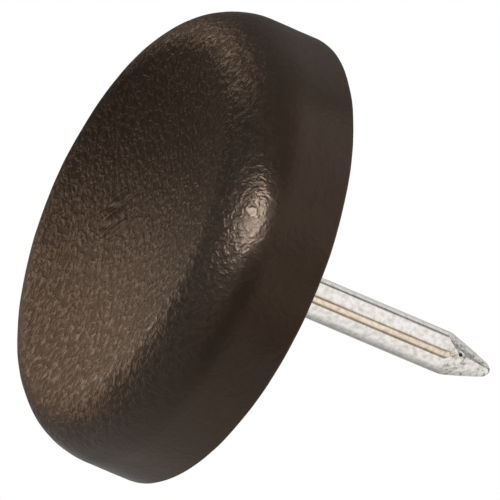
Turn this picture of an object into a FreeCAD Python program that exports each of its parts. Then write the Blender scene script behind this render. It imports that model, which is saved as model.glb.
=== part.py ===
import FreeCAD, Part
import math
import os

# Nail-on furniture glide: a moulded disc with a dished gliding face, and a wire nail moulded into its back.
# Millimetres and degrees. The glide stands on its gliding ring at z = 0 and the nail points up along +Z.

# Moulded disc
disc_diameter = 22.0
disc_height = 5.5               # floor to flat back
dish_radius = 40.0              # ball that the dish is a shallow cap of
lip_radius = 2.0                # first roll out of the dish and over the gliding ring
lip_turn = 45.0                 # how far the lip turns outwards before the larger roll takes over
edge_radius = 3.3               # larger roll, from the lip up to the side wall
back_edge_radius = 0.2          # break on the parting edge round the flat back

# Wire nail
shank_diameter = 2.0
nail_reach = 14.4               # flat back to tip
nail_head_diameter = 5.0
nail_head_thickness = 0.9
nail_head_cover = 1.2           # plastic between the dish and the nail's head
head_rim_height = 0.5           # straight rim of the nail's head, below its tapered underside

# Rolled grip rings of the moulded-in stretch, counted down from the flat back
grip_ring_pitch = 0.5
grip_ring_height = 0.16         # root to crest

# Diamond point, pressed between dies that leave four slightly rounded facets
facet_count = 4
facet_slope = 16.2              # between a facet's middle and the nail's axis
facet_roundness = 1.8           # radius across a facet
tip_radius = 0.25               # blunt end that the four facets run onto

axis_foot = FreeCAD.Vector(0, 0, 0)
axis_up = FreeCAD.Vector(0, 0, 1)


def at(radius, height):
    return FreeCAD.Vector(radius, 0, height)


def arc_point(centre, radius, tilt):
    # Point on an arc in the profile plane, where tilt 0 is straight down and 90 is straight out
    turn = math.radians(tilt)
    return centre + at(radius * math.sin(turn), -radius * math.cos(turn))


def line(start, end):
    return Part.LineSegment(start, end).toShape()


def arc(centre, radius, first_tilt, last_tilt):
    middle_tilt = (first_tilt + last_tilt) / 2
    points = [arc_point(centre, radius, tilt) for tilt in (first_tilt, middle_tilt, last_tilt)]
    return Part.Arc(*points).toShape()


def revolved(edges):
    return Part.Face(Part.Wire(edges)).revolve(axis_foot, axis_up, 360)


# Heights and radii that follow from the sizes above
disc_radius = disc_diameter / 2
ring_radius = disc_radius - edge_radius + (edge_radius - lip_radius) * math.sin(math.radians(lip_turn))
lip_centre = at(ring_radius, lip_radius)
edge_centre = arc_point(lip_centre, edge_radius - lip_radius, lip_turn + 180)
# The dish's ball and the lip touch from outside, so their centres lie both radii apart
dish_slope = math.degrees(math.asin(ring_radius / (dish_radius + lip_radius)))
dish_centre = at(0, arc_point(lip_centre, dish_radius + lip_radius, -dish_slope).z)
dish_depth = dish_centre.z + dish_radius

shank_radius = shank_diameter / 2
nail_head_radius = nail_head_diameter / 2
nail_foot = dish_depth + nail_head_cover
nail_neck = nail_foot + nail_head_thickness
nail_tip = disc_height + nail_reach


def disc_blank():
    # Dish, lip and edge are three arcs that run into each other without a corner, from the axis out to the wall
    back_edge_centre = at(disc_radius - back_edge_radius, disc_height - back_edge_radius)
    middle = at(0, dish_depth)
    wall_foot = arc_point(edge_centre, edge_radius, 90)
    wall_top = arc_point(back_edge_centre, back_edge_radius, 90)
    back_rim = arc_point(back_edge_centre, back_edge_radius, 180)
    back_middle = at(0, disc_height)
    return revolved([
        arc(dish_centre, dish_radius, 180, 180 - dish_slope),
        arc(lip_centre, lip_radius, -dish_slope, lip_turn),
        arc(edge_centre, edge_radius, lip_turn, 90),
        line(wall_foot, wall_top),
        arc(back_edge_centre, back_edge_radius, 90, 180),
        line(back_rim, back_middle),
        line(back_middle, middle),
    ])


def grip_ring_points():
    # Rolled rings swing evenly inside and outside the shank's radius, from the neck up to the flat back
    ring_count = int((disc_height - nail_neck) / grip_ring_pitch)
    points = [at(shank_radius, disc_height)]
    for index in range(ring_count):
        top = disc_height - index * grip_ring_pitch
        points.append(at(shank_radius - grip_ring_height / 2, top - grip_ring_pitch / 4))
        points.append(at(shank_radius + grip_ring_height / 2, top - grip_ring_pitch * 3 / 4))
    return points[::-1]


def facet_waste():
    # What the die presses away on one side: a block beside the axis, less a tilted cylinder that keeps the facet
    tilt = math.radians(facet_slope)
    along = FreeCAD.Vector(-math.sin(tilt), 0, math.cos(tilt))
    inward = FreeCAD.Vector(-math.cos(tilt), 0, -math.sin(tilt))
    facets_meet = at(0, nail_tip - tip_radius + tip_radius / math.sin(tilt))
    point_length = shank_radius / math.tan(tilt)
    block_bottom = facets_meet.z - point_length - shank_radius
    block_height = point_length + 2 * shank_radius
    block = Part.makeBox(shank_diameter, 2 * shank_diameter, block_height)
    block.translate(FreeCAD.Vector(0, -shank_diameter, block_bottom))
    keeper_half = 2 * block_height
    keeper_foot = facets_meet + inward * facet_roundness - along * keeper_half
    keeper = Part.makeCylinder(facet_roundness, 2 * keeper_half, keeper_foot, along)
    return block.cut(keeper)


def nail():
    # The blank ends in a small ball and a cone, which blunt the ridges where the facets run onto them
    tip_centre = at(0, nail_tip - tip_radius)
    cone_top = arc_point(tip_centre, tip_radius, 135)
    cone_foot = at(shank_radius, cone_top.z - (shank_radius - cone_top.x))
    head_points = [
        at(0, nail_foot),
        at(nail_head_radius, nail_foot),
        at(nail_head_radius, nail_foot + head_rim_height),
        at(shank_radius, nail_neck),
    ]
    outline = head_points + grip_ring_points() + [cone_foot, cone_top]
    edges = [line(start, end) for start, end in zip(outline, outline[1:])]
    edges.append(arc(tip_centre, tip_radius, 135, 180))
    edges.append(line(at(0, nail_tip), at(0, nail_foot)))
    facets = []
    for index in range(facet_count):
        waste = facet_waste()
        waste.rotate(axis_foot, axis_up, index * 360 / facet_count)
        facets.append(waste)
    return revolved(edges).cut(facets).removeSplitter()


def disc(set_nail):
    # The plastic fills every groove of the nail, so its cavity is the nail itself
    return disc_blank().cut(set_nail)


os.makedirs("parts", exist_ok=True)
nail_solid = nail()
nail_solid.exportStep("parts/nail.step")
disc(nail_solid).exportStep("parts/glide_disc.step")
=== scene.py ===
import math
import bpy
from mathutils import Matrix, Vector


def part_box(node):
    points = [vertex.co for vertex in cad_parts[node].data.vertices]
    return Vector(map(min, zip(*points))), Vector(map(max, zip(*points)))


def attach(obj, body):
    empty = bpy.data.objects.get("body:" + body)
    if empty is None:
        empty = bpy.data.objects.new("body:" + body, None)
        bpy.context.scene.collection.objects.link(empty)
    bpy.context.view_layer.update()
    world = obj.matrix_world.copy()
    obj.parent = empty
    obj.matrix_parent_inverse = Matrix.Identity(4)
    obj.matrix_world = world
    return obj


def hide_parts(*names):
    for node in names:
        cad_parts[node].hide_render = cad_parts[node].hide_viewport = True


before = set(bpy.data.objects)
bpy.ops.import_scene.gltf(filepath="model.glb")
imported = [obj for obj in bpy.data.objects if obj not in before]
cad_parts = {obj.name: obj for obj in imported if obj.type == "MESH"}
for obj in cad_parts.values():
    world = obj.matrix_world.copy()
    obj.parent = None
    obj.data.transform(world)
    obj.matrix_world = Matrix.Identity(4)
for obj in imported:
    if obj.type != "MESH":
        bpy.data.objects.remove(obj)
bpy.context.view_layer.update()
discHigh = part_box("glide_disc")[1]
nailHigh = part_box("nail")[1]
mm = 0.001  # sizes are written in millimetres, and Blender counts in metres


def linear(hexColour):
    # sRGB hex to the linear values that the shaders work in
    values = [int(hexColour[i:i + 2], 16) / 255 for i in (1, 3, 5)]
    return [v / 12.92 if v <= 0.04045 else ((v + 0.055) / 1.055) ** 2.4 for v in values] + [1.0]


def addNode(tree, kind, inputs=None, **settings):
    # one node with its settings; an input is either a value or another node's output socket
    node = tree.nodes.new(kind)
    for name, value in settings.items():
        setattr(node, name, value)
    for name, value in (inputs or {}).items():
        if isinstance(value, bpy.types.NodeSocket):
            tree.links.new(value, node.inputs[name])
        else:
            node.inputs[name].default_value = value
    return node


def newMaterial(name):
    material = bpy.data.materials.new(name)
    material.use_nodes = True
    material.node_tree.nodes.clear()
    return material, material.node_tree


def addPiece(name, mesh):
    piece = bpy.data.objects.new(name, mesh)
    bpy.context.scene.collection.objects.link(piece)
    return piece


# Moulded polypropylene, dark brown through and through. The gliding face and the rolled edge carry the
# spark-eroded grain of the mould: pits that are duller than the land between them and darkened by painted
# shade, and break every highlight into specks. The side is smoother, and a few flow wrinkles lie in
# the dish.
plasticLook = {
    "brown": "#241b16",
    "brownPale": "#2e241d",
    "brownPitShade": "#18120e",         # painted shade in the pits, which makes them darker than the land
    "toneSize": 1.6 * mm,
    "toneLevels": (0.3, 0.7),      # noise levels that the roughness runs between
    "grainSize": 0.3 * mm,         # drawn coarse enough to show; the real grain may be finer
    "grainLevels": (0.34, 0.68),   # noise levels between the floor of a pit and the flat land around it
    "grainHeight": 0.05 * mm,
    "grainDistortion": 0.5,
    "grainFadeFrom": 0.1 * mm,     # height on the rolled edge where the grain starts to fade
    "grainFadeTo": 2.1 * mm,
    "sideGrain": 0.15,             # what is left of it on the side and back
    "roughness": (0.23, 0.3),
    "pitRoughness": 0.34,          # added in the pits
    "ior": 1.49,
    "specular": 0.27,
    "specularTint": "#ffe7d5",
    "wrinkleMiddle": (1.8 * mm, 2.5 * mm, 0.8 * mm),
    "wrinkleCore": 0.72 * mm,      # wrinkled in full as far as this from the middle
    "wrinkleSpread": 1.8 * mm,     # and not at all beyond this
    "wrinkleTurn": 14.0,           # degrees from X towards Y that the wrinkles run
    "wrinkleLength": 1.4 * mm,
    "wrinkleWidth": 0.4 * mm,
    "wrinkleHeight": 0.4 * mm,
    "wrinkleDistortion": 0.6,
}


def mouldedBrownPlastic(look):
    material, tree = newMaterial("mouldedBrownPolypropylene")
    place = addNode(tree, "ShaderNodeTexCoord").outputs["Object"]
    # slow drift of the brown
    tone = addNode(tree, "ShaderNodeTexNoise", {
        "Vector": place, "Scale": 1 / look["toneSize"], "Detail": 4.0,
    })
    clean = addNode(tree, "ShaderNodeMix", {
        "Factor": tone.outputs["Fac"], "A": linear(look["brown"]), "B": linear(look["brownPale"]),
    }, data_type="RGBA").outputs["Result"]
    # grain of pits and land, fading out up the rolled edge
    grain = addNode(tree, "ShaderNodeTexNoise", {
        "Vector": place, "Scale": 1 / look["grainSize"], "Detail": 2.0,
        "Distortion": look["grainDistortion"],
    })
    height = addNode(tree, "ShaderNodeSeparateXYZ", {"Vector": place}).outputs["Z"]
    cover = addNode(tree, "ShaderNodeMapRange", {
        "Value": height, "From Min": look["grainFadeFrom"], "From Max": look["grainFadeTo"],
        "To Min": 1.0, "To Max": look["sideGrain"],
    }, interpolation_type="SMOOTHSTEP").outputs["Result"]
    land = addNode(tree, "ShaderNodeMapRange", {
        "Value": grain.outputs["Fac"], "From Min": look["grainLevels"][0], "From Max": look["grainLevels"][1],
    }, interpolation_type="SMOOTHSTEP").outputs["Result"]
    # flow wrinkles in one patch of the dish
    fromWrinkles = addNode(tree, "ShaderNodeVectorMath", {
        0: place, 1: look["wrinkleMiddle"],
    }, operation="DISTANCE").outputs["Value"]
    inWrinkles = addNode(tree, "ShaderNodeMapRange", {
        "Value": fromWrinkles, "From Min": look["wrinkleCore"], "From Max": look["wrinkleSpread"],
        "To Min": 1.0, "To Max": 0.0,
    }, interpolation_type="SMOOTHSTEP").outputs["Result"]
    along = addNode(tree, "ShaderNodeVectorRotate", {
        "Vector": place, "Angle": -math.radians(look["wrinkleTurn"]),
    }, rotation_type="Z_AXIS")
    stretch = addNode(tree, "ShaderNodeMapping", {
        "Vector": along.outputs["Vector"],
        "Scale": (1 / look["wrinkleLength"], 1 / look["wrinkleWidth"], 1 / look["wrinkleWidth"]),
    })
    wrinkles = addNode(tree, "ShaderNodeTexNoise", {
        "Vector": stretch.outputs["Vector"], "Scale": 1.0, "Detail": 1.0,
        "Distortion": look["wrinkleDistortion"],
    })
    wrinkled = addNode(tree, "ShaderNodeBump", {
        "Height": wrinkles.outputs["Fac"], "Strength": inWrinkles, "Distance": look["wrinkleHeight"],
    })
    bump = addNode(tree, "ShaderNodeBump", {
        "Height": land, "Strength": cover, "Distance": look["grainHeight"],
        "Normal": wrinkled.outputs["Normal"],
    })
    # pits are duller than the land, and darker by painted shade
    plain = addNode(tree, "ShaderNodeMath", {0: 1.0, 1: cover}, operation="SUBTRACT").outputs[0]
    shown = addNode(tree, "ShaderNodeMapRange", {
        "Value": land, "To Min": plain, "To Max": 1.0,
    }).outputs["Result"]
    colour = addNode(tree, "ShaderNodeMix", {
        "Factor": shown, "A": linear(look["brownPitShade"]), "B": clean,
    }, data_type="RGBA").outputs["Result"]
    skin = addNode(tree, "ShaderNodeMapRange", {
        "Value": tone.outputs["Fac"], "From Min": look["toneLevels"][0], "From Max": look["toneLevels"][1],
        "To Min": look["roughness"][0], "To Max": look["roughness"][1],
    }).outputs["Result"]
    pitted = addNode(tree, "ShaderNodeMath", {
        0: cover, 1: look["pitRoughness"],
    }, operation="MULTIPLY").outputs[0]
    pits = addNode(tree, "ShaderNodeMapRange", {
        "Value": land, "To Min": pitted, "To Max": 0.0,
    }).outputs["Result"]
    gloss = addNode(tree, "ShaderNodeMath", {0: skin, 1: pits}, operation="ADD").outputs[0]
    shader = addNode(tree, "ShaderNodeBsdfPrincipled", {
        "Base Color": colour, "Roughness": gloss, "Normal": bump.outputs["Normal"],
        "IOR": look["ior"], "Specular IOR Level": look["specular"],
        "Specular Tint": linear(look["specularTint"]),
    })
    addNode(tree, "ShaderNodeOutputMaterial", {"Surface": shader.outputs["BSDF"]})
    return material


# Drawn steel wire with a bright zinc plate: near-white metal, a little frosted, with fine lines along the
# wire from the drawing die, and a rough look with dark specks on the pressed facets of the point.
zincLook = {
    "zinc": "#f8f6f3",
    "zincDull": "#cdcac6",
    "zincSpeck": "#9d9994",
    # painted shade in the die pit
    "pitShade": "#3d3833",
    "lineWidth": 0.05 * mm,        # drawn coarser than the real lines, so that they show
    "lineLength": 6 * mm,
    "lineLevels": (0.3, 0.7),      # noise levels that the roughness runs between
    "lineHeight": 0.003 * mm,
    "lineStrength": 0.6,
    "frostSize": 0.24 * mm,
    "frostLevels": (0.4, 0.75),    # noise levels between bright and dull plate
    "speckSize": 0.2 * mm,
    "speckLevels": (0.5, 0.72),
    "speckHeight": 0.025 * mm,
    "roughness": (0.08, 0.14),
    "pointRoughness": 0.2,
    "pressedLength": 3.0 * mm,     # below the tip, where the pressed look starts
    "pressedFade": 0.5 * mm,
}


def zincPlatedWire(look, pitMiddle, pitSize):
    material, tree = newMaterial("zincPlatedDrawnWire")
    place = addNode(tree, "ShaderNodeTexCoord").outputs["Object"]
    stretch = addNode(tree, "ShaderNodeMapping", {
        "Vector": place,
        "Scale": (1 / look["lineWidth"], 1 / look["lineWidth"], 1 / look["lineLength"]),
    })
    lines = addNode(tree, "ShaderNodeTexNoise", {
        "Vector": stretch.outputs["Vector"], "Scale": 1.0, "Detail": 3.0,
    })
    frost = addNode(tree, "ShaderNodeTexNoise", {
        "Vector": place, "Scale": 1 / look["frostSize"], "Detail": 3.0,
    })
    speck = addNode(tree, "ShaderNodeTexNoise", {
        "Vector": place, "Scale": 1 / look["speckSize"], "Detail": 2.0,
    })
    height = addNode(tree, "ShaderNodeSeparateXYZ", {"Vector": place}).outputs["Z"]
    pressedFrom = nailHigh.z - look["pressedLength"]
    onPoint = addNode(tree, "ShaderNodeMapRange", {
        "Value": height, "From Min": pressedFrom, "From Max": pressedFrom + look["pressedFade"],
    }, interpolation_type="SMOOTHSTEP").outputs["Result"]
    # frosted plate, then specks on the pressed point, then painted shade in the die pit
    frosting = addNode(tree, "ShaderNodeMapRange", {
        "Value": frost.outputs["Fac"], "From Min": look["frostLevels"][0], "From Max": look["frostLevels"][1],
    })
    plated = addNode(tree, "ShaderNodeMix", {
        "Factor": frosting.outputs["Result"], "A": linear(look["zinc"]), "B": linear(look["zincDull"]),
    }, data_type="RGBA").outputs["Result"]
    speckCover = addNode(tree, "ShaderNodeMapRange", {
        "Value": speck.outputs["Fac"], "From Min": look["speckLevels"][0], "From Max": look["speckLevels"][1],
        "To Max": onPoint,
    }, interpolation_type="SMOOTHSTEP")
    specked = addNode(tree, "ShaderNodeMix", {
        "Factor": speckCover.outputs["Result"], "A": plated, "B": linear(look["zincSpeck"]),
    }, data_type="RGBA").outputs["Result"]
    fromPit = addNode(tree, "ShaderNodeVectorMath", {
        0: place, 1: pitMiddle,
    }, operation="DISTANCE").outputs["Value"]
    inPit = addNode(tree, "ShaderNodeMapRange", {
        "Value": fromPit, "From Min": pitSize, "From Max": 2 * pitSize, "To Min": 1.0, "To Max": 0.0,
    }, interpolation_type="SMOOTHSTEP")
    colour = addNode(tree, "ShaderNodeMix", {
        "Factor": inPit.outputs["Result"], "A": specked, "B": linear(look["pitShade"]),
    }, data_type="RGBA").outputs["Result"]
    # drawing lines in the gloss and the relief, under the pressed look of the point
    shankGloss = addNode(tree, "ShaderNodeMapRange", {
        "Value": lines.outputs["Fac"], "From Min": look["lineLevels"][0], "From Max": look["lineLevels"][1],
        "To Min": look["roughness"][0], "To Max": look["roughness"][1],
    })
    gloss = addNode(tree, "ShaderNodeMix", {
        "Factor": onPoint, "A": shankGloss.outputs["Result"], "B": look["pointRoughness"],
    }).outputs["Result"]
    drawn = addNode(tree, "ShaderNodeBump", {
        "Height": lines.outputs["Fac"], "Strength": look["lineStrength"], "Distance": look["lineHeight"],
    })
    pressed = addNode(tree, "ShaderNodeBump", {
        "Height": speck.outputs["Fac"], "Strength": onPoint, "Distance": look["speckHeight"],
        "Normal": drawn.outputs["Normal"],
    })
    shader = addNode(tree, "ShaderNodeBsdfPrincipled", {
        "Base Color": colour, "Metallic": 1.0, "Roughness": gloss, "Normal": pressed.outputs["Normal"],
    })
    addNode(tree, "ShaderNodeOutputMaterial", {"Surface": shader.outputs["BSDF"]})
    return material


# The moulded disc, turned about the nail's axis: a shallow dish, a lip over the gliding ring, a larger roll
# up to the straight side, and a flat back with a short bore that the nail stands in
discShape = {
    "dishRadius": 40.0 * mm,
    "lipRadius": 2.0 * mm,
    "lipTurn": 45.0,               # degrees that the lip turns outwards before the larger roll takes over
    "edgeRadius": 3.3 * mm,
    "backEdgeRadius": 0.2 * mm,
    "boreDepth": 0.8 * mm,
    "stepsRound": 320,
    "dishSteps": 90,
    "lipSteps": 26,
    "edgeSteps": 36,
    "straightSteps": 20,
    "peelSize": 3.0 * mm,          # slow waves in the moulded skin, from sinking while it cooled
    "peelHeight": 0.09 * mm,
    "peelSeed": 3.0,
    "sharpAngle": 40.0,            # only the bore's corner is sharper
}


def discOutline(shape, nailRadius):
    # points (radius, height) from the dish's middle round to the bore
    radius, height = discHigh.x, discHigh.z
    lip = shape["lipRadius"]
    edge = shape["edgeRadius"]
    dish = shape["dishRadius"]
    backEdge = shape["backEdgeRadius"]
    lipTurn = math.radians(shape["lipTurn"])
    ringRadius = radius - edge + (edge - lip) * math.sin(lipTurn)
    dishSlope = math.asin(ringRadius / (dish + lip))
    edgeCentre = (radius - edge, lip + (edge - lip) * math.cos(lipTurn))
    dishCentre = (0, lip - (dish + lip) * math.cos(dishSlope))
    backCentre = (radius - backEdge, height - backEdge)

    def arc(centre, arcRadius, first, last, steps):
        # turn 0 looks straight down and a quarter turn outwards
        turns = [first + (last - first) * i / steps for i in range(steps)]
        return [(centre[0] + arcRadius * math.sin(t), centre[1] - arcRadius * math.cos(t)) for t in turns]

    def run(start, end, steps):
        return [
            (start[0] + (end[0] - start[0]) * i / steps, start[1] + (end[1] - start[1]) * i / steps)
            for i in range(steps)
        ]

    outline = arc(dishCentre, dish, math.pi, math.pi - dishSlope, shape["dishSteps"])
    outline += arc((ringRadius, lip), lip, -dishSlope, lipTurn, shape["lipSteps"])
    outline += arc(edgeCentre, edge, lipTurn, math.pi / 2, shape["edgeSteps"])
    outline += run((radius, edgeCentre[1]), (radius, backCentre[1]), shape["straightSteps"])
    outline += arc(backCentre, backEdge, math.pi / 2, math.pi, shape["straightSteps"] // 2)
    outline += run((backCentre[0], height), (nailRadius, height), shape["straightSteps"])
    boreFoot = height - shape["boreDepth"]
    return outline + [(nailRadius, height), (nailRadius, boreFoot), (0, boreFoot)]


def latheTree():
    # turns the outline about Z and lets the moulded skin wander a little inwards
    tree = bpy.data.node_groups.new("discLathe", "GeometryNodeTree")
    face = tree.interface
    face.new_socket("Outline", in_out="INPUT", socket_type="NodeSocketGeometry")
    for name, kind in (
        ("Steps Round", "NodeSocketInt"), ("Peel Size", "NodeSocketFloat"),
        ("Peel Height", "NodeSocketFloat"), ("Seed", "NodeSocketFloat"), ("Material", "NodeSocketMaterial"),
    ):
        face.new_socket(name, in_out="INPUT", socket_type=kind)
    face.new_socket("Disc", in_out="OUTPUT", socket_type="NodeSocketGeometry")
    given = addNode(tree, "NodeGroupInput").outputs
    where = addNode(tree, "GeometryNodeInputPosition").outputs["Position"]
    size = addNode(tree, "GeometryNodeAttributeDomainSize", {
        "Geometry": given["Outline"],
    }).outputs["Point Count"]
    # a sheet that goes round the axis along its X and follows the outline along its Y
    sheet = addNode(tree, "GeometryNodeMeshGrid", {
        "Size X": 1.0, "Size Y": 1.0, "Vertices X": given["Steps Round"], "Vertices Y": size,
    })
    across = addNode(tree, "ShaderNodeSeparateXYZ", {"Vector": sheet.outputs["UV Map"]}).outputs
    last = addNode(tree, "ShaderNodeMath", {0: size, 1: 1.0}, operation="SUBTRACT").outputs[0]
    step = addNode(tree, "ShaderNodeMath", {0: across["Y"], 1: last}, operation="MULTIPLY").outputs[0]
    index = addNode(tree, "ShaderNodeMath", {0: step}, operation="ROUND").outputs[0]
    point = addNode(tree, "GeometryNodeSampleIndex", {
        "Geometry": given["Outline"], "Value": where, "Index": index,
    }, data_type="FLOAT_VECTOR")
    angle = addNode(tree, "ShaderNodeMath", {0: across["X"], 1: math.tau}, operation="MULTIPLY").outputs[0]
    spun = addNode(tree, "ShaderNodeVectorRotate", {
        "Vector": point.outputs["Value"], "Angle": angle,
    }, rotation_type="Z_AXIS")
    turned = addNode(tree, "GeometryNodeSetPosition", {
        "Geometry": sheet.outputs["Mesh"], "Position": spun.outputs["Vector"],
    })
    closed = addNode(tree, "GeometryNodeMergeByDistance", {
        "Geometry": turned.outputs["Geometry"], "Distance": 0.0001 * mm,  # closes the seam and both poles
    })
    # the waves only push inwards, so that the disc stays inside the CAD box
    scale = addNode(tree, "ShaderNodeMath", {0: 1.0, 1: given["Peel Size"]}, operation="DIVIDE").outputs[0]
    peel = addNode(tree, "ShaderNodeTexNoise", {
        "Vector": where, "W": given["Seed"], "Scale": scale, "Detail": 2.0,
    }, noise_dimensions="4D")
    inward = addNode(tree, "ShaderNodeMath", {
        0: given["Peel Height"], 1: -1.0,
    }, operation="MULTIPLY").outputs[0]
    depth = addNode(tree, "ShaderNodeMath", {
        0: peel.outputs["Fac"], 1: inward,
    }, operation="MULTIPLY").outputs[0]
    normal = addNode(tree, "GeometryNodeInputNormal").outputs["Normal"]
    push = addNode(tree, "ShaderNodeVectorMath", {0: normal, "Scale": depth}, operation="SCALE")
    skin = addNode(tree, "GeometryNodeSetPosition", {
        "Geometry": closed.outputs["Geometry"], "Offset": push.outputs["Vector"],
    })
    smooth = addNode(tree, "GeometryNodeSetShadeSmooth", {"Geometry": skin.outputs["Geometry"]})
    real = addNode(tree, "GeometryNodeRealizeInstances", {"Geometry": smooth.outputs["Geometry"]})
    dressed = addNode(tree, "GeometryNodeSetMaterial", {
        "Geometry": real.outputs["Geometry"], "Material": given["Material"],
    })
    addNode(tree, "NodeGroupOutput", {"Disc": dressed.outputs["Geometry"]})
    return tree


def makeDisc(shape, nailRadius, material):
    outline = bpy.data.meshes.new("discOutline")
    points = [(radius, 0, height) for radius, height in discOutline(shape, nailRadius)]
    outline.from_pydata(points, [(i, i + 1) for i in range(len(points) - 1)], [])
    piece = addPiece("mouldedDisc", outline)
    tree = latheTree()
    lathe = piece.modifiers.new("lathe", "NODES")
    lathe.node_group = tree
    settings = {
        "Steps Round": shape["stepsRound"], "Peel Size": shape["peelSize"],
        "Peel Height": shape["peelHeight"], "Seed": shape["peelSeed"], "Material": material,
    }
    for item in tree.interface.items_tree:
        if item.name in settings:
            lathe[item.identifier] = settings[item.name]
    bpy.context.view_layer.update()
    made = bpy.data.meshes.new_from_object(piece.evaluated_get(bpy.context.evaluated_depsgraph_get()))
    made.set_sharp_from_angle(angle=math.radians(shape["sharpAngle"]))
    piece.modifiers.remove(lathe)
    piece.data = made
    made.name = "mouldedDisc"
    return piece


# The wire nail: a round shank from inside the disc, and a point pressed into four slightly rounded facets
nailShape = {
    "radius": 1.0 * mm,
    "facetSlope": 16.2,            # degrees between a facet's middle and the axis
    "facetRoundness": 1.8 * mm,
    "tipRadius": 0.25 * mm,
    "tipCone": 45.0,               # degrees between the axis and the cone under the tip's ball
    "facets": 4,
    "stepsRound": 128,
    "shankSteps": 40,
    "pointSteps": 130,
    "footDepth": 1.2 * mm,         # how far the shank runs on inside the disc
    "pitTurn": 225.0,              # small pit that the die left where one ridge starts
    "pitBelowTip": 2.05 * mm,
    "pitSize": 0.07 * mm,
    "pitDepth": 0.1 * mm,
    "sharpAngle": 14.0,            # the ridges between the facets stay sharp
}


def nailRadiusAt(shape, height, turn):
    # from the axis to the surface: the shank, a facet or the tip's ball and cone, whichever is nearest in
    slope = math.radians(shape["facetSlope"])
    ballCentre = nailHigh.z - shape["tipRadius"]
    meet = ballCentre + shape["tipRadius"] / math.sin(slope)
    reach = (meet - height) * math.tan(slope)
    sector = math.tau / shape["facets"]
    off = (turn + sector / 2) % sector - sector / 2
    back = max(shape["facetRoundness"] - reach, 0)  # from the axis back to the middle of the facet's rounding
    facet = -back * math.cos(off) + math.sqrt(shape["facetRoundness"] ** 2 - (back * math.sin(off)) ** 2)
    above = height - ballCentre
    cone = math.radians(shape["tipCone"])
    coneTop = shape["tipRadius"] * math.sin(cone)
    if above > coneTop:
        tip = math.sqrt(max(shape["tipRadius"] ** 2 - above ** 2, 0))
    else:
        tip = shape["tipRadius"] * math.cos(cone) + (coneTop - above) * math.tan(cone)
    around = (turn - math.radians(shape["pitTurn"])) * shape["radius"]
    along = height - (nailHigh.z - shape["pitBelowTip"])
    pit = shape["pitDepth"] * math.exp(-(around ** 2 + along ** 2) / (2 * shape["pitSize"] ** 2))
    return min(shape["radius"], facet, tip) - pit


def pitPlace(shape):
    turn = math.radians(shape["pitTurn"])
    radius = nailRadiusAt(shape, nailHigh.z - shape["pitBelowTip"], turn)
    return Vector((radius * math.cos(turn), radius * math.sin(turn), nailHigh.z - shape["pitBelowTip"]))


def makeNail(shape, material):
    slope = math.radians(shape["facetSlope"])
    foot = discHigh.z - shape["footDepth"]
    pointFoot = nailHigh.z - shape["radius"] / math.tan(slope)
    heights = [foot + (pointFoot - foot) * i / shape["shankSteps"] for i in range(shape["shankSteps"])]
    for i in range(shape["pointSteps"]):
        part = i / shape["pointSteps"]
        heights.append(pointFoot + (nailHigh.z - pointFoot) * math.sin(part * math.pi / 2))
    count = shape["stepsRound"]
    points = []
    for height in heights:
        for column in range(count):
            turn = math.tau * column / count
            radius = nailRadiusAt(shape, height, turn)
            points.append((radius * math.cos(turn), radius * math.sin(turn), height))
    faces = []
    for row in range(len(heights) - 1):
        low, high = row * count, (row + 1) * count
        for column in range(count):
            following = (column + 1) % count
            faces.append((low + column, low + following, high + following, high + column))
    last = (len(heights) - 1) * count
    footMiddle, tipMiddle = len(points), len(points) + 1
    points += [(0, 0, foot), (0, 0, nailHigh.z)]
    for column in range(count):
        following = (column + 1) % count
        faces.append((footMiddle, following, column))
        faces.append((last + column, last + following, tipMiddle))
    mesh = bpy.data.meshes.new("wireNail")
    mesh.from_pydata(points, [], faces)
    mesh.materials.append(material)
    for face in mesh.polygons:
        face.use_smooth = True
    mesh.set_sharp_from_angle(angle=math.radians(shape["sharpAngle"]))
    return addPiece("wireNail", mesh)


# Camera, set from where the disc's outline and the nail's tip lie in the photograph
cameraPlace = {
    "azimuth": -31.0,
    "elevation": -23.93,
    "roll": 112.94,
    "lens": 1200.0,                # so long that the picture has next to no perspective
    "frameWidth": 22.765 * mm,
    "faceRight": 5.76 * mm,        # image centre, seen from the middle of the gliding ring
    "faceUp": -1.49 * mm,
    "clip": (0.01, 20.0),          # metres
}


def placeCamera(place):
    azimuth, elevation, roll = (math.radians(place[key]) for key in ("azimuth", "elevation", "roll"))
    level = math.cos(elevation)
    back = Vector((math.sin(azimuth) * level, -math.cos(azimuth) * level, math.sin(elevation)))
    sideways = Vector((math.cos(azimuth), math.sin(azimuth), 0))
    upright = back.cross(sideways)
    right = sideways * math.cos(roll) + upright * math.sin(roll)
    up = back.cross(right)
    data = bpy.data.cameras.new("photoCamera")
    data.lens = place["lens"]
    camera = bpy.data.objects.new("photoCamera", data)
    bpy.context.scene.collection.objects.link(camera)
    away = place["frameWidth"] * place["lens"] / data.sensor_width
    centre = right * place["faceRight"] + up * place["faceUp"]
    turned = Matrix((right, up, back)).transposed().to_4x4()
    camera.matrix_world = Matrix.Translation(centre + back * away) @ turned
    data.clip_start, data.clip_end = place["clip"]
    bpy.context.scene.camera = camera
    return back


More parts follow.
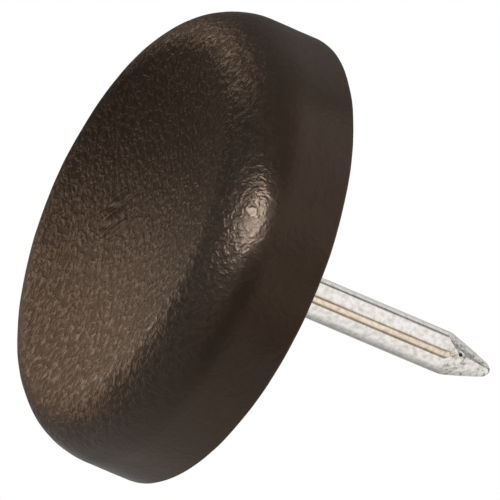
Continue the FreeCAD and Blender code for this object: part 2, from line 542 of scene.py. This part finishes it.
# Studio: pale floor that is seen from above only, a tent of panels in three rings, a shaded card close
# under the face, soft lamps, and a small near one for the bright spot. Compass angles count from the
# camera's side of the object towards the picture's upper edge. A panel is written as its compass angle,
# level and tint, and shades into the next.
studio = {
    "floorSize": 4.0,
    "floorColour": "#ebeae8",
    "floorPale": "#f0efee",
    "floorCloud": 3.0,             # clouds of the paler colour to a metre
    "floorFade": (0.06, 0.4),      # metres from the object over which the floor runs into the white behind
    "tints": {"white": "#fffdf9", "tan": "#fff0e0", "brown": "#d8b88f", "warm": "#ffe0c4"},
    "highPanels": [                # mirrored by the side wall and the nail, where gaps draw thin lines
        (-180, 0.5, "white"), (-150, 0.35, "white"), (-130, 0.36, "white"), (-105, 0.55, "white"),
        (-80, 0.85, "white"), (-32, 0.95, "white"), (-27, 0.4, "brown"), (-21, 0.4, "brown"),
        (-15, 0.85, "tan"), (0, 1.0, "tan"), (6, 0.85, "tan"), (10, 0.4, "brown"), (14, 0.4, "brown"),
        (19, 0.95, "white"),
        (92, 0.95, "white"), (97, 0.3, "white"), (102, 0.1, "white"), (106, 0.3, "white"),
        (120, 0.35, "white"), (150, 0.15, "white"), (168, 0.15, "white"), (180, 0.5, "white"),
    ],
    "levelPanels": [               # mirrored by the near end of the dish and the upper rolled edge
        (-180, 0.1, "white"), (-165, 0.1, "white"), (-140, 0.6, "white"), (-90, 1.2, "white"),
        (-30, 0.1, "white"), (0, 0.05, "white"), (40, 0.2, "white"), (120, 0.35, "white"),
        (150, 0.12, "white"), (180, 0.1, "white"),
    ],
    "lowPanels": [                 # mirrored by the steep part of the rolled edge
        (-180, 0.8, "white"), (-150, 1.0, "white"), (-90, 1.0, "white"), (-30, 0.8, "white"),
        (0, 1.4, "white"), (40, 1.2, "white"), (90, 0.5, "white"), (150, 0.3, "white"),
        (180, 0.8, "white"),
    ],
    "levelFrom": (-30, -12),       # degrees of height over which a ring takes over from the one below it
    "highFrom": (4, 18),
    "fillStrength": 0.2,
    "faceCard": {
        "below": 4 * mm,           # under the gliding ring
        "half": 20 * mm,           # half its width, from the picture's lower edge to the upper
        "farEdge": -40 * mm,
        "nearEdge": 6 * mm,
        "nearFade": 4 * mm,
        "farFade": 29 * mm,
        "levels": [                # across the card, in millimetres towards the picture's upper edge
            (-20, 0.8), (-15, 1.1), (-12, 1.35), (-7, 1.85), (-4, 1.95), (-2, 1.3), (0, 0.7), (1.5, 0.25),
            (4, 0.12), (6, 0.08), (8, 0.25), (10, 1.0), (12.5, 2.0), (15, 1.35), (20, 0.5),
        ],
        "strength": 1.32,
    },
    "lamps": {                     # compass and height in degrees, away and size in metres, power in watts
        "faceLamp": {              # even light on the face and side, not mirrored
            "compass": 21, "height": -28, "away": 0.5, "size": (0.11, 0.11), "power": 1.8, "glossy": False,
        },
        "topLamp": {               # draws the shadow on the floor, not mirrored
            "compass": 60, "height": 60, "away": 3.0, "size": (1.35, 1.35), "power": 110.0, "glossy": False,
        },
        "nailStrip": {"compass": 142, "height": 24, "away": 0.5, "size": (0.5, 0.34), "power": 0.23},
        "wallStrip": {
            "compass": -96, "height": 24, "away": 0.5, "size": (0.7, 0.2), "power": 0.17, "tint": "warm",
        },
        "keyLamp": {               # bright spot on the rolled edge; a narrow beam keeps it to that spot
            "compass": 28, "height": -30, "away": 6 * mm, "size": (5 * mm, 5 * mm), "power": 0.00023,
            "shape": "DISK", "spread": 60, "diffuse": False,
            "aim": (10.4 * mm, 1.8 * mm, 1.3 * mm),   # nearwards, towards the picture's upper edge, up
        },
    },
}


def addFloor(settings):
    # only the camera sees it, and only from above
    half = settings["floorSize"] / 2
    mesh = bpy.data.meshes.new("floor")
    corners = [(-half, -half, 0), (half, -half, 0), (half, half, 0), (-half, half, 0)]
    mesh.from_pydata(corners, [], [(0, 1, 2, 3)])
    material, tree = newMaterial("paleFloor")
    place = addNode(tree, "ShaderNodeTexCoord").outputs["Object"]
    cloud = addNode(tree, "ShaderNodeTexNoise", {"Vector": place, "Scale": settings["floorCloud"]})
    tone = addNode(tree, "ShaderNodeMix", {
        "Factor": cloud.outputs["Fac"],
        "A": linear(settings["floorColour"]), "B": linear(settings["floorPale"]),
    }, data_type="RGBA")
    paint = addNode(tree, "ShaderNodeBsdfDiffuse", {"Color": tone.outputs["Result"]})
    clear = addNode(tree, "ShaderNodeBsdfTransparent")
    side = addNode(tree, "ShaderNodeNewGeometry")
    away = addNode(tree, "ShaderNodeVectorMath", {0: place}, operation="LENGTH").outputs["Value"]
    unseen = addNode(tree, "ShaderNodeMapRange", {
        "Value": away, "From Min": settings["floorFade"][0], "From Max": settings["floorFade"][1],
        "To Min": side.outputs["Backfacing"], "To Max": 1.0,
    }, interpolation_type="SMOOTHSTEP")
    seen = addNode(tree, "ShaderNodeMixShader", {
        "Fac": unseen.outputs["Result"], 1: paint.outputs["BSDF"], 2: clear.outputs["BSDF"],
    })
    addNode(tree, "ShaderNodeOutputMaterial", {"Surface": seen.outputs["Shader"]})
    mesh.materials.append(material)
    floor = addPiece("floor", mesh)
    floor.visible_shadow = False
    floor.visible_diffuse = False
    floor.visible_glossy = False


def addRamp(tree, value, stops):
    # shades from each (position, level, tint) to the next
    ramp = addNode(tree, "ShaderNodeValToRGB", {"Fac": value})
    marks = ramp.color_ramp.elements
    while len(marks) < len(stops):
        marks.new(1.0)
    for mark, (position, level, tint) in zip(marks, stops):
        mark.position = position
        mark.color = [level * part for part in linear(studio["tints"][tint])[:3]] + [1.0]
    return ramp.outputs["Color"]


def addPanelRing(tree, name, turn, settings):
    stops = [((compass + 180) / 360, level, tint) for compass, level, tint in settings[name]]
    return addNode(tree, "ShaderNodeBackground", {"Color": addRamp(tree, turn, stops)}).outputs["Background"]


def addFaceCard(card, nearSide, upSide):
    # bright under the picture's lower half and dark under the upper one; only reflections see it
    half, farEdge, nearEdge = card["half"], card["farEdge"], card["nearEdge"]
    below = Vector((0, 0, -card["below"]))
    edges = [(-half, farEdge), (half, farEdge), (half, nearEdge), (-half, nearEdge)]
    corners = [upSide * across + nearSide * near + below for across, near in edges]
    mesh = bpy.data.meshes.new("faceCard")
    mesh.from_pydata(corners, [], [(0, 1, 2, 3)])
    material, tree = newMaterial("shadedCard")
    place = addNode(tree, "ShaderNodeTexCoord").outputs["Object"]
    across, near = (
        addNode(tree, "ShaderNodeVectorMath", {0: place, 1: side}, operation="DOT_PRODUCT").outputs["Value"]
        for side in (upSide, nearSide)
    )
    part = addNode(tree, "ShaderNodeMapRange", {"Value": across, "From Min": -half, "From Max": half})
    stops = [((spot * mm + half) / (2 * half), level, "warm") for spot, level in card["levels"]]
    glow = addNode(tree, "ShaderNodeEmission", {
        "Color": addRamp(tree, part.outputs["Result"], stops), "Strength": card["strength"],
    })
    shown = glow.outputs["Emission"]
    for edge, fade in ((nearEdge, -card["nearFade"]), (farEdge, card["farFade"])):
        gone = addNode(tree, "ShaderNodeMapRange", {
            "Value": near, "From Min": edge + fade, "From Max": edge,
        }, interpolation_type="SMOOTHSTEP")
        clear = addNode(tree, "ShaderNodeBsdfTransparent")
        shown = addNode(tree, "ShaderNodeMixShader", {
            "Fac": gone.outputs["Result"], 1: shown, 2: clear.outputs["BSDF"],
        }).outputs["Shader"]
    addNode(tree, "ShaderNodeOutputMaterial", {"Surface": shown})
    mesh.materials.append(material)
    piece = addPiece("faceCard", mesh)
    piece.visible_camera = False
    piece.visible_diffuse = False
    piece.visible_shadow = False
    piece.visible_transmission = False


def addTent(settings, nearSide, upSide):
    # glossy rays see the panels, diffuse rays an even fill, and the camera plain white
    world = bpy.data.worlds.new("lightTent")
    bpy.context.scene.world = world
    world.use_nodes = True
    world.cycles.sampling_method = "NONE"  # rays aimed at the tent would count as neither kind
    tree = world.node_tree
    tree.nodes.clear()
    ray = addNode(tree, "ShaderNodeLightPath").outputs
    look = addNode(tree, "ShaderNodeTexCoord").outputs["Generated"]
    height = addNode(tree, "ShaderNodeSeparateXYZ", {"Vector": look}).outputs["Z"]
    across, near = (
        addNode(tree, "ShaderNodeVectorMath", {0: look, 1: side}, operation="DOT_PRODUCT").outputs["Value"]
        for side in (upSide, nearSide)
    )
    compass = addNode(tree, "ShaderNodeMath", {0: across, 1: near}, operation="ARCTAN2").outputs[0]
    turn = addNode(tree, "ShaderNodeMapRange", {
        "Value": compass, "From Min": -math.pi, "From Max": math.pi,
    }).outputs["Result"]
    tent = addPanelRing(tree, "lowPanels", turn, settings)
    for name, band in (("levelPanels", "levelFrom"), ("highPanels", "highFrom")):
        first, last = (math.sin(math.radians(angle)) for angle in settings[band])
        share = addNode(tree, "ShaderNodeMapRange", {
            "Value": height, "From Min": first, "From Max": last,
        }, interpolation_type="SMOOTHSTEP").outputs["Result"]
        tent = addNode(tree, "ShaderNodeMixShader", {
            "Fac": share, 1: tent, 2: addPanelRing(tree, name, turn, settings),
        }).outputs["Shader"]
    white = (1, 1, 1, 1)
    fill = addNode(tree, "ShaderNodeBackground", {"Color": white, "Strength": settings["fillStrength"]})
    paper = addNode(tree, "ShaderNodeBackground", {"Color": white})
    lit = addNode(tree, "ShaderNodeMixShader", {
        "Fac": ray["Is Glossy Ray"], 1: fill.outputs["Background"], 2: tent,
    })
    shown = addNode(tree, "ShaderNodeMixShader", {
        "Fac": ray["Is Camera Ray"], 1: lit.outputs["Shader"], 2: paper.outputs["Background"],
    })
    addNode(tree, "ShaderNodeOutputWorld", {"Surface": shown.outputs["Shader"]})


def addLamp(name, nearSide, upSide, only=None):
    # soft panel that looks at the object; with a piece named as its only one, it lights nothing else
    lamp = studio["lamps"][name]
    compass, height = math.radians(lamp["compass"]), math.radians(lamp["height"])
    level = nearSide * math.cos(compass) + upSide * math.sin(compass)
    direction = level * math.cos(height) + Vector((0, 0, math.sin(height)))
    near, across, above = lamp.get("aim", (0, 0, 0))
    aim = nearSide * near + upSide * across + Vector((0, 0, above))
    data = bpy.data.lights.new(name, "AREA")
    data.shape = lamp.get("shape", "RECTANGLE")
    data.size, data.size_y = lamp["size"]
    data.spread = math.radians(lamp.get("spread", 180))
    data.energy = lamp["power"]
    data.color = linear(studio["tints"][lamp.get("tint", "white")])[:3]
    placed = bpy.data.objects.new(name, data)
    placed.location = aim + direction * lamp["away"]
    placed.rotation_euler = direction.to_track_quat("Z", "Y").to_euler()
    placed.visible_camera = False
    placed.visible_glossy = lamp.get("glossy", True)
    placed.visible_diffuse = lamp.get("diffuse", True)
    bpy.context.scene.collection.objects.link(placed)
    if only:
        lit = bpy.data.collections.new(name + "Lit")
        lit.objects.link(only)
        placed.light_linking.receiver_collection = lit


plastic = mouldedBrownPlastic(plasticLook)
zinc = zincPlatedWire(zincLook, pitPlace(nailShape), nailShape["pitSize"])
print("materials made")
disc = makeDisc(discShape, nailShape["radius"], plastic)
print("disc turned:", len(disc.data.polygons), "faces")
nail = makeNail(nailShape, zinc)
print("nail made:", len(nail.data.polygons), "faces")
for piece, node, slot in ((disc, "glide_disc", "brown_plastic"), (nail, "nail", "zinc_plated_steel")):
    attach(piece, "root")
    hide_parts(node)

back = placeCamera(cameraPlace)
print("camera placed")
bpy.context.scene.view_settings.view_transform = "Standard"
nearSide = Vector((back.x, back.y, 0)).normalized()  # level, towards the camera
upSide = nearSide.cross(Vector((0, 0, 1)))  # level, towards the picture's upper edge
addFloor(studio)
addTent(studio, nearSide, upSide)
addFaceCard(studio["faceCard"], nearSide, upSide)
for name, only in (
    ("faceLamp", None), ("topLamp", None), ("nailStrip", nail), ("wallStrip", disc), ("keyLamp", disc),
):
    addLamp(name, nearSide, upSide, only)
print("studio set")
